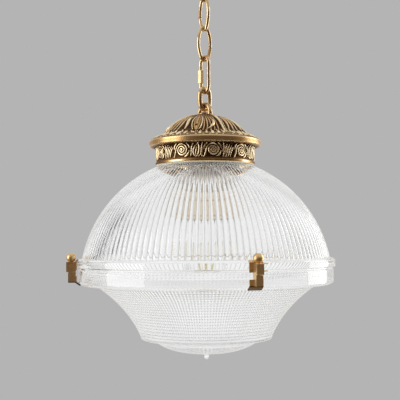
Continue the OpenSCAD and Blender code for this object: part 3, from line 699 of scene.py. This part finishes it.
def cap_quadrant(A, S, RR):
    """Relief of a quarter of the gallery's top. A: angle from the quarter's middle (rad), S: distance down from the top
    along the profile (mm), RR: radius. A rib stands on each edge of the quarter."""
    X = A * RR
    H = np.zeros_like(X)
    s_ref, r_ref = S[:, 0], RR[:, 0]

    def P(deg, s):
        return (math.radians(deg) * np.interp(s, s_full, r_full), s)

    s_full, r_full = CAP_S, CAP_R

    def path(*pts, n=12):
        return curve(*[P(*p) for p in pts], n=n)

    # the leaf face right of the middle: an outlined shield with a scored body
    bigleaf(H, X, S, path((5, 12), (9, 26), (6, 40), (7.5, 51), n=14), [2.2, 4.6, 6.2, 5.6, 2.6], [0.7, 1.15, 1.25, 1.3, 1.2], 1.5, 0.28, 0.10)
    draw(H, X, S, path((1.5, 13), (-2.5, 26), (-3.2, 42), (2.8, 51.5), n=14), [0.5, 0.9, 1.0, 0.8], [1.0, 1.4, 1.6, 1.6], 0.5)
    draw(H, X, S, path((10, 13), (16.5, 26), (16.5, 42), (11.5, 51.5), n=14), [0.5, 0.9, 1.0, 0.8], [1.0, 1.4, 1.6, 1.6], 0.5)
    H -= 0.95 * np.exp(-(((X - P(6.8, 42.5)[0]) / 1.5) ** 2 + ((S - 42.5) / 2.1) ** 2))
    np.maximum(H, 0, out=H)
    # a thick tongue of leaf left of the shield, and its swollen tip
    bigleaf(H, X, S, path((-7, 20), (-15.5, 27), (-6.5, 38), (-9.2, 48.5), n=14), [0.9, 1.9, 2.5, 2.3, 1.1], [0.9, 1.7, 2.15, 2.15, 1.5], 0.0, 0.0)
    # long lobes between the tongue and the rib on the left
    for k in range(3):
        q = -20.5 - 7.2 * k
        bigleaf(H, X, S, path((q + 6.5, 11 + 2.5 * k), (q - 1.5, 24), (q + 4.5, 36), (q - 1.0, 51 - k), n=13),
                [0.7, 1.8, 2.15, 0.9], [0.7, 1.2, 1.35, 1.0], 0.5, 0.25)
    # lines of combed leaf that sweep from the top to the rib on the right
    for k in range(5):
        q = 16.0 + 5.2 * k
        draw(H, X, S, path((q - 1.0, 7.0 + k), (q - 3.6, 22), (q + 6.4 - k, 36), (q + 0.4, 54.0), n=14),
             [0.5, 0.95, 1.05, 0.7], [0.6, 0.9, 0.95, 0.75], 0.42)
    # the bright comma among them
    bigleaf(H, X, S, path((32.5, 31), (36.0, 38), (31.0, 45), (24.0, 50.5), n=12), [0.6, 2.1, 2.6, 0.8], [1.4, 2.3, 2.4, 1.4], 0.0, 0.0)
    # swollen tips and beads along the foot, down onto the ring's slope
    for q, s0, s1, w, top in ((-37.0, 50, 64.0, 1.8, 1.7), (-29.5, 52, 68.5, 2.2, 1.9), (-20.5, 50.5, 67.5, 2.7, 2.2), (-10.6, 51.0, 69.0, 2.7, 2.2),
                              (-3.0, 54.5, 67.0, 1.9, 1.8), (14.0, 54.0, 69.0, 2.2, 1.9), (21.0, 54.0, 66.5, 1.8, 1.7), (27.5, 53.0, 69.0, 2.3, 2.0),
                              (34.6, 52.5, 66.5, 1.9, 1.8), (41.0, 52.0, 64.5, 1.6, 1.5)):
        bigleaf(H, X, S, path((q - 0.7, s0), (q + 1.0, s0 + 0.3 * (s1 - s0)), (q - 0.6, s0 + 0.7 * (s1 - s0)), (q, s1), n=8),
                [0.5, 0.75 * w, w, 0.85 * w], [0.9, 0.85 * top, top, 0.9 * top], 0.0, 0.0)
    dots(H, X, S, [P(2.9, 57.4), P(8.9, 56.8)], 2.0, 2.0)
    dots(H, X, S, [P(5.8, 63.6)], 2.3, 1.9)
    dots(H, X, S, [P(q, 70.2) for q in (-41.5, -33.4, -25.0, -15.5, -6.6, 1.2, 10.0, 17.5, 24.3, 31.0, 37.8)], 1.5, 1.2)
    # the rib, and the beaded line that follows it on its right
    ribx = np.abs(np.abs(X) - math.radians(45) * RR)
    bar = 2.1 * np.clip(1 - (ribx / 1.6) ** 2, 0, 1) ** 0.5 * np.clip((S - 1.5) / 2.0, 0, 1) * np.clip((62.5 - S) / 2.0, 0, 1)
    off = X + math.radians(45) * RR - 3.2
    keep = (np.abs(off) < 2.1) & (S > 9) & (S < 63) & (X < 0)
    H = np.where(keep, np.minimum(H, 0.15), H)
    s_b = S / 2.2
    bead = np.clip(1 - (off / 0.95) ** 2 - ((s_b - np.round(s_b)) * 2.2 / 0.95) ** 2, 0, 1) ** 0.5
    H = np.where((S > 9) & (S < 62) & (X < 0), np.maximum(H, 1.25 * bead), H)
    np.maximum(H, bar, out=H)
    # a low collar round the top
    return np.where(S < 2.4, np.maximum(np.minimum(H, 0.5), 0.5 * np.clip(1 - ((S - 1.0) / 1.3) ** 2, 0, 1) ** 0.6), H)


# the cap's outer profile, smoothed, with its distance s from the top; it goes on down the ring's slope
def smooth_profile():
    prof = np.array([(14.2, 209.6), (22.5, 207.4), (30.5, 204.2), (37, 201.1), (42.3, 198), (46.4, 195), (49.2, 192),
                     (52.4, 189), (54.8, 186), (58.2, 183), (60.6, 180.6), (61.5, 179.6)])
    t = np.concatenate([[0], np.cumsum(np.linalg.norm(np.diff(prof, axis=0), axis=1))])
    tt = np.linspace(0, t[-1], 400)
    ker = np.hanning(61)
    ker /= ker.sum()

    def sm(a):
        e = np.concatenate([2 * a[0] - a[30:0:-1], a, 2 * a[-1] - a[-2:-32:-1]])
        return np.convolve(e, ker, mode="valid")

    return np.stack([sm(np.interp(tt, t, prof[:, 0])), sm(np.interp(tt, t, prof[:, 1]))], 1), t[-1]


CAP_LINE, CAP_LEN = smooth_profile()
SLOPE = np.array([(61.6, 179.62), (63.0, 179.5), (65.4, 178.45), (70.0, 176.4), (74.4, 174.35), (76.3, 173.25)])
_s1 = np.concatenate([[0], np.cumsum(np.linalg.norm(np.diff(CAP_LINE, axis=0), axis=1))])
_s2 = _s1[-1] + np.concatenate([[0], np.cumsum(np.linalg.norm(np.diff(SLOPE, axis=0), axis=1))])
CAP_S = np.concatenate([_s1, _s2[1:]])
CAP_R = np.concatenate([CAP_LINE[:, 0], SLOPE[1:, 0]])


def relief_wear_and_shade(H, rx, ry):
    """How bright the metal is: worn on crests and edges, dark in the hollows from brown patina and painted shade."""
    low, wide = blur(H, rx, ry), blur(H, rx * 3, ry * 3)
    return np.clip(0.05 + 0.55 * H / 1.6 + 0.60 * (H - low) + 0.22 * (H - wide), 0, 1)


def build_band():
    COLS = 192                       # per 72 degrees
    M = COLS * 5
    x = (np.arange(COLS) + 0.5) / COLS * (2 * PITCH)
    ys = np.linspace(0, 18.8, 48)
    X, Y = np.meshgrid(x, ys)
    H = np.tile(frieze_unit(X, Y), (1, 5))
    # turned so that its scrolls stand as in the photo
    H = np.roll(H, int(round(M * (235.0 - 27.0 - 9.42) / 360.0)), axis=1)
    H = H * np.clip(np.minimum(ys + 0.6, 19.6 - ys) / 0.8, 0, 1)[:, None]
    grain = blur(np.random.default_rng(11).standard_normal(H.shape), 1, 1) * 0.10
    wear_and_shade = relief_wear_and_shade(H, 3, 2)
    rows = []

    def plain(r, h, w):
        rows.append((np.full(M, float(r)), np.full(M, float(h)), float(w)))

    # lip, from the inside out and up to the frieze's ground
    turn = np.arange(M) / M * 360.0 - math.degrees(CAM_AZ)
    # painted highlight: the lip's metal is made bright at the turns where the softboxes reflect in it, and stays dark
    # between
    lip_painted_sheen = 0.10 * (0.5 + 0.5 * np.sin(np.radians(turn * 3 + 70)))
    for c0, half in ((-33.0, 17.0), (50.0, 13.0), (139.0, 20.0), (-118.0, 15.0)):
        lip_painted_sheen = np.maximum(lip_painted_sheen, 0.62 * np.exp(-(((turn - c0 + 180.0) % 360.0 - 180.0) / half) ** 2))
    for r, h, w, k in ((64.3, 139.4, .85, 0), (66.4, 139.25, .9, 0), (67.2, 139.8, .9, 0), (68.05, 140.7, .25, .8), (68.4, 141.7, .12, 1), (68.2, 142.9, .12, 1),
                       (67.5, 144.0, .12, 1), (66.9, 144.6, .12, .6), (66.5, 145.0, .12, .2)):
        rows.append((np.full(M, float(r)), np.full(M, float(h)), np.clip(w + k * lip_painted_sheen, 0, 1)))
    base = np.interp(145.6 + ys, [145.6, 161.8, 163.2, 164.2, 164.5], [66.45, 66.45, 67.1, 68.6, 69.6])
    for i, y in enumerate(ys):
        rows.append((base[i] + H[i] + grain[i] * (H[i] < 0.4), np.full(M, 145.6 + y), wear_and_shade[i]))
    # cove under the ring, and the ring
    for r, h, w in ((72.0, 164.75, .30), (72.6, 164.9, .25), (72.8, 165.3, .3), (76.0, 165.45, .6), (76.7, 165.75, .7), (77.0, 166.3, .62), (77.0, 167.6, .54), (77.0, 169.3, .50),
                    (77.0, 171.0, .54), (77.0, 172.1, .66), (76.8, 172.7, .8), (76.35, 173.15, .7)):
        plain(r, h, w)
    # the slope above the ring, with the ends of the cap's leaves on it
    NS = 13
    ss = np.linspace(CAP_S[-1], CAP_LEN + 1.2, NS)
    a = (np.arange(M // 4) + 0.5) / (M // 4) * (math.pi / 2) - math.pi / 4
    order = np.argsort(ss)
    A, S = np.meshgrid(a, ss[order])
    RR = np.broadcast_to(np.interp(ss[order], CAP_S, CAP_R)[:, None], A.shape)
    HS = np.tile(cap_quadrant(A, S, RR), (1, 4))
    HS = np.roll(HS, int(round(M * ((-125.0 + 26.0) % 360.0) / 360.0)), axis=1)
    HS = np.minimum(HS * np.clip((CAP_S[-1] + 0.4 - ss[order]) / 1.2, 0, 1)[:, None], 1.7)
    ws = np.clip(relief_wear_and_shade(HS, 3, 1) + 0.20, 0, 1)
    SH = np.interp(ss, _s2, SLOPE[:, 1])
    for j in range(NS - 1):
        k = int(np.where(order == j)[0][0])
        r0 = float(np.interp(ss[j], CAP_S, CAP_R))
        rows.append((r0 + 0.40 * HS[k], SH[j] + 0.92 * HS[k], ws[k]))
    for r, h, w in ((62.3, 179.6, .1), (58.6, 179.6, .1), (58.0, 179.2, .1), (58.0, 175.0, .1)):
        plain(r, h, w)
    for r, h in ((63.9, 170.6), (63.9, 150.0), (64.2, 140.0)):
        plain(r, h, 0.1)
    v, f, att = skin(rows, closed=True, flip=True)
    print("band faces", 2 * M * len(rows))
    ob = make_mesh("gallery_band_scrolls", v, f, MAT["gallery"], 50.0, attrs={"wear_and_shade": att}, body="lamp", replaces=["gallery_band"])
    # the inside never went brown
    ob.data.materials.append(MAT["plate_nickel"])
    cen = np.zeros(3 * len(ob.data.polygons))
    ob.data.polygons.foreach_get("center", cen)
    cen = cen.reshape(-1, 3) / MM
    inner = (np.hypot(cen[:, 0], cen[:, 1]) < 66.0) & (cen[:, 2] - ZR < 172.0)
    ob.data.polygons.foreach_set("material_index", inner.astype(np.int32))
    return ob


def build_cap():
    NR = 94
    line, s = resample(CAP_LINE, _s1[-1] / (NR - 1))
    nrm = profile_normals(line)
    if nrm[len(nrm) // 2, 0] < 0:
        nrm = -nrm
    COLS = 220
    M = COLS * 4
    a = (np.arange(COLS) + 0.5) / COLS * (math.pi / 2) - math.pi / 4
    A, S = np.meshgrid(a, s)
    RR = np.broadcast_to(line[:, 0][:, None], A.shape)
    H = np.tile(cap_quadrant(A, S, RR), (1, 4))
    # ribs at +26 and -64 degrees from the camera; a quarter starts at a rib
    H = np.roll(H, int(round(M * ((-125.0 + 26.0) % 360.0) / 360.0)), axis=1)
    grain = blur(np.random.default_rng(7).standard_normal(H.shape), 1, 1) * 0.12
    H = H + grain * (0.3 + 0.7 * (H < 0.4)) * np.clip((s - 2.4) / 3.0, 0, 1)[:, None]
    wear_and_shade = relief_wear_and_shade(H, 4, 3)
    rows = []
    for i in range(len(line)):
        fade = min(1.0, (s[-1] - s[i]) / 0.8 + 0.15)
        d = (H[i] - 0.8 * min(1.0, (s[i] + 0.2) / 3.0)) * fade
        rows.append((line[i, 0] + nrm[i, 0] * d, line[i, 1] + nrm[i, 1] * d, wear_and_shade[i]))
    for r, h in ((61.3, 179.6), (58.3, 179.6), (57.9, 179.0), (57.9, 174.9), (57.5, 174.5), (56.3, 174.5), (55.9, 174.9), (55.9, 179.5),
                 (55.6, 181.0), (52.4, 184.6), (46.0, 191.8), (38.0, 197.9), (28.0, 203.0), (14.0, 207.0), (5.2, 207.4)):
        rows.append((np.full(M, r), np.full(M, h), 0.15))
    rows.append((np.full(M, 5.1), np.full(M, 209.4), 0.15))
    rows.append((np.full(M, 13.0), np.full(M, 209.55), 0.4))
    v, f, att = skin(rows, closed=True, flip=False)
    print("cap faces", 2 * M * len(rows))
    return make_mesh("gallery_cap_leaves", v, f, MAT["gallery"], 50.0, attrs={"wear_and_shade": att}, body="lamp", replaces=["gallery_cap"])


def build_loop_band():
    """The cast band of the hanging loop: an oval section along the arch and its two legs, closed at the feet."""
    z0, R = 212.05, 12.5
    path = [(-R, 210.0), (-R, 211.0)] + [(-R * math.cos(t), z0 + R * math.sin(t)) for t in np.linspace(0, math.pi, 49)] + [(R, 211.0), (R, 210.0)]
    path = np.array(path)
    tang = np.gradient(path, axis=0)
    tang /= np.linalg.norm(tang, axis=1, keepdims=True)
    M = 40
    a = 2 * np.pi * np.arange(M) / M
    n = len(path)
    k = np.sin(np.pi * np.clip((np.arange(n) - 1) / (n - 3), 0, 1)) ** 0.7
    rows = []
    for i, (y, z) in enumerate(path):
        wide, thick = 3.7 - 0.5 * k[i], 2.1 + 0.1 * (1 - k[i])
        off = thick * np.sign(np.sin(a)) * np.abs(np.sin(a)) ** 0.85
        rows.append(np.stack([wide * np.cos(a), y - tang[i, 1] * off, z + tang[i, 0] * off], 1))
    v = np.concatenate(rows + [np.array([[0.0, path[0, 0], path[0, 1]], [0.0, path[-1, 0], path[-1, 1]]])])
    j = np.arange(M)
    quads = np.concatenate([np.stack([i * M + j, i * M + (j + 1) % M, (i + 1) * M + (j + 1) % M, (i + 1) * M + j], 1) for i in range(n - 1)])
    tris = np.concatenate([np.stack([np.full(M, n * M), (j + 1) % M, j], 1), np.stack([np.full(M, n * M + 1), (n - 1) * M + j, (n - 1) * M + (j + 1) % M], 1)])
    # the low boss between the legs
    boss = [(0.0, 213.9), (2.6, 213.75), (5.0, 213.2), (7.0, 212.3), (8.6, 211.2), (9.2, 210.4), (9.2, 209.75), (0.0, 209.75)]
    rows = [(np.full(1 if r == 0 else M, r), np.full(1 if r == 0 else M, h)) for r, h in boss]
    vb, fb_, _ = skin(rows, closed=False)
    faces = [quads, tris] + [f + len(v) for f in fb_]
    ob = make_mesh("hanging_loop_band", np.concatenate([v, vb]), faces, MAT["loop_brass"], 50.0, body="lamp")
    bm = bmesh.new()
    bm.from_mesh(ob.data)
    bmesh.ops.recalc_face_normals(bm, faces=bm.faces)
    bm.to_mesh(ob.data)
    bm.free()
    return ob


build_dome()
build_bowl()
build_loop_band()
build_band()
build_cap()


# ------------------------------------------------------------------ CAD nodes keep their shape and get worked materials
NODE_MAT = {
    "ceiling_bracket": "steel", "rose_cup": "antique_brass", "rose_nut": "bright_brass", "ceiling_hook": "antique_brass",
    "hook_locknut": "steel", "chain_link_top": "chain_brass", "chain_link_middle": "chain_brass", "chain_link_lower": "chain_brass",
    "quick_link_body": "chain_brass", "quick_link_nut": "nut_brass", "oval_ring": "chain_brass", "hanging_loop": "loop_brass",
    "neck_gasket": "pale_rubber", "plate_gasket": "pale_rubber", "neck_plate": "plate_nickel", "threaded_tube": "bright_brass",
    "tube_nut": "steel", "holder_cap": "bright_brass", "holder_body": "bright_brass", "holder_insert": "porcelain",
    "holder_thread": "bright_brass", "centre_contact": "bright_brass", "terminal_screws": "steel", "bulb_cap": "nickel",
    "bulb_insulator": "black_glass", "bulb_contact": "steel", "bulb_glass": "bulb_clear_glass", "bulb_stem": "bulb_clear_glass",
    "bulb_supports": "nickel", "bulb_filaments": "phosphor", "rim_gasket": "clear_rubber",
}
for i in (1, 2, 3):
    NODE_MAT["clip_upper_%d" % i] = "clip_brass"
    NODE_MAT["clip_lower_%d" % i] = "jaw_brass"
    NODE_MAT["clip_screw_%d" % i] = "clip_brass"
for name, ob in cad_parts.items():
    key = NODE_MAT.get(name)
    if key is None:
        continue
    if not ob.material_slots:
        ob.data.materials.append(MAT[key])
    for slot in ob.material_slots:
        slot.material = MAT[key]


# ------------------------------------------------------------------ stage and light
def stage_plane(name, size, loc, rot, material):
    s = size / 2.0
    me = bpy.data.meshes.new(name)
    me.from_pydata([(-s, -s, 0), (s, -s, 0), (s, s, 0), (-s, s, 0)], [], [(0, 1, 2, 3)])
    me.materials.append(material)
    ob = bpy.data.objects.new(name, me)
    ob.location = loc
    ob.rotation_euler = rot
    bpy.context.scene.collection.objects.link(ob)
    ob.visible_transmission = False
    ob.visible_glossy = False
    return ob


floor_mat, fnt, fb = new_tree("pale_floor")
fvec = coord(fnt)
nt_f = noise(fnt, fvec, 3.0, 3.0, 0.5)
fnt.links.new(ramp(fnt, nt_f, [(0.3, grey(0.60)), (0.7, grey(0.64))]), fb.inputs["Base Color"])
fb.inputs["Roughness"].default_value = 0.8
stage_plane("floor", 7.0, (0, 0, -2.45), (0, 0, 0), floor_mat)


def world_light():
    w = bpy.data.worlds.new("studio")
    bpy.context.scene.world = w
    w.use_nodes = True
    nt = w.node_tree
    nt.nodes.clear()
    out = nt.nodes.new("ShaderNodeOutputWorld")
    bg = nt.nodes.new("ShaderNodeBackground")
    nt.links.new(bg.outputs[0], out.inputs[0])
    lp = nt.nodes.new("ShaderNodeLightPath")
    tc = nt.nodes.new("ShaderNodeTexCoord")
    sep = nt.nodes.new("ShaderNodeSeparateXYZ")
    nt.links.new(tc.outputs["Generated"], sep.inputs[0])
    az = mathn(nt, "ARCTAN2", sep.outputs[1], sep.outputs[0])
    z = sep.outputs[2]
    # azimuth from the camera's side: cf is 1 at the camera and -1 behind the lamp, sf is 1 at the picture's right
    cf = mathn(nt, "COSINE", mathn(nt, "SUBTRACT", az, float(CAM_AZ)))
    sf = mathn(nt, "SINE", mathn(nt, "SUBTRACT", az, float(CAM_AZ)))
    zz = mathn(nt, "MULTIPLY_ADD", z, 0.5, 0.5)
    # through the glass: a white room with one dark gap at the left, behind the softbox
    t = ramp(nt, zz, [(0.0, grey(0.82)), (0.30, grey(0.92)), (0.46, grey(0.96)), (0.75, grey(0.93)), (1.0, grey(0.82))])
    turn = mathn(nt, "MULTIPLY_ADD", mathn(nt, "ARCTAN2", sf, cf), 0.5 / math.pi, 0.5)
    gap_az = ramp(nt, turn, [(0.122, grey(0.0)), (0.134, grey(1.0)), (0.226, grey(1.0)), (0.238, grey(0.0))])
    gap_z = ramp(nt, zz, [(0.44, grey(0.0)), (0.47, grey(1.0)), (0.76, grey(1.0)), (0.82, grey(0.0))])
    t = mix_col(nt, mathn(nt, "MULTIPLY", mathn(nt, "MULTIPLY", gap_az, gap_z), 1.0), t, grey(0.02))
    # in reflections: dark on the camera's side near the horizon, lighter behind and above
    g = ramp(nt, mathn(nt, "MULTIPLY_ADD", cf, 0.5, 0.5), [(0.0, rgb(0.74, 0.72, 0.69)), (0.25, rgb(0.42, 0.38, 0.33)), (0.5, rgb(0.24, 0.18, 0.13)),
                                                         (0.75, rgb(0.11, 0.070, 0.045)), (1.0, rgb(0.085, 0.050, 0.032))])
    up = ramp(nt, zz, [(0.0, grey(0.10)), (0.30, grey(0.0)), (0.58, grey(0.0)), (0.76, grey(0.55)), (1.0, grey(0.90))])
    g = mix_col(nt, up, g, grey(0.85))
    c = mix_col(nt, lp.outputs["Is Transmission Ray"], mix_col(nt, lp.outputs["Is Glossy Ray"], grey(0.62), g), t)
    c = mix_col(nt, lp.outputs["Is Camera Ray"], c, grey(0.456))
    nt.links.new(c, bg.inputs["Color"])
    bg.inputs["Strength"].default_value = 1.0


world_light()


def softbox(name, theta, dist, z, w, h, power, tilt=0.0, color=(1, 1, 1)):
    """A rectangular lamp at theta degrees from the camera's side of the axis, facing the lamp globe."""
    a = CAM_AZ + math.radians(theta)
    d = bpy.data.lights.new(name, "AREA")
    d.shape = "RECTANGLE"
    d.size, d.size_y = w, h
    d.energy = power
    d.color = color
    ob = bpy.data.objects.new(name, d)
    bpy.context.scene.collection.objects.link(ob)
    ob.location = (dist * math.cos(a), dist * math.sin(a), z)
    target = Vector((0, 0, -0.42 + tilt))
    ob.rotation_euler = (target - ob.location).to_track_quat("-Z", "Y").to_euler()
    ob.visible_camera = False
    ob.visible_transmission = False      # the white room already stands behind the glass
    return ob


softbox("softbox_left", -72, 1.6, -0.25, 1.2, 1.7, 17.0)
softbox("softbox_right", 112, 1.6, -0.25, 0.95, 1.7, 13.0)

sc = bpy.context.scene
sc.view_settings.view_transform = "Standard"
sc.cycles.max_bounces = 64
sc.cycles.transmission_bounces = 64
sc.cycles.glossy_bounces = 24
sc.cycles.diffuse_bounces = 4
sc.cycles.use_denoising = True
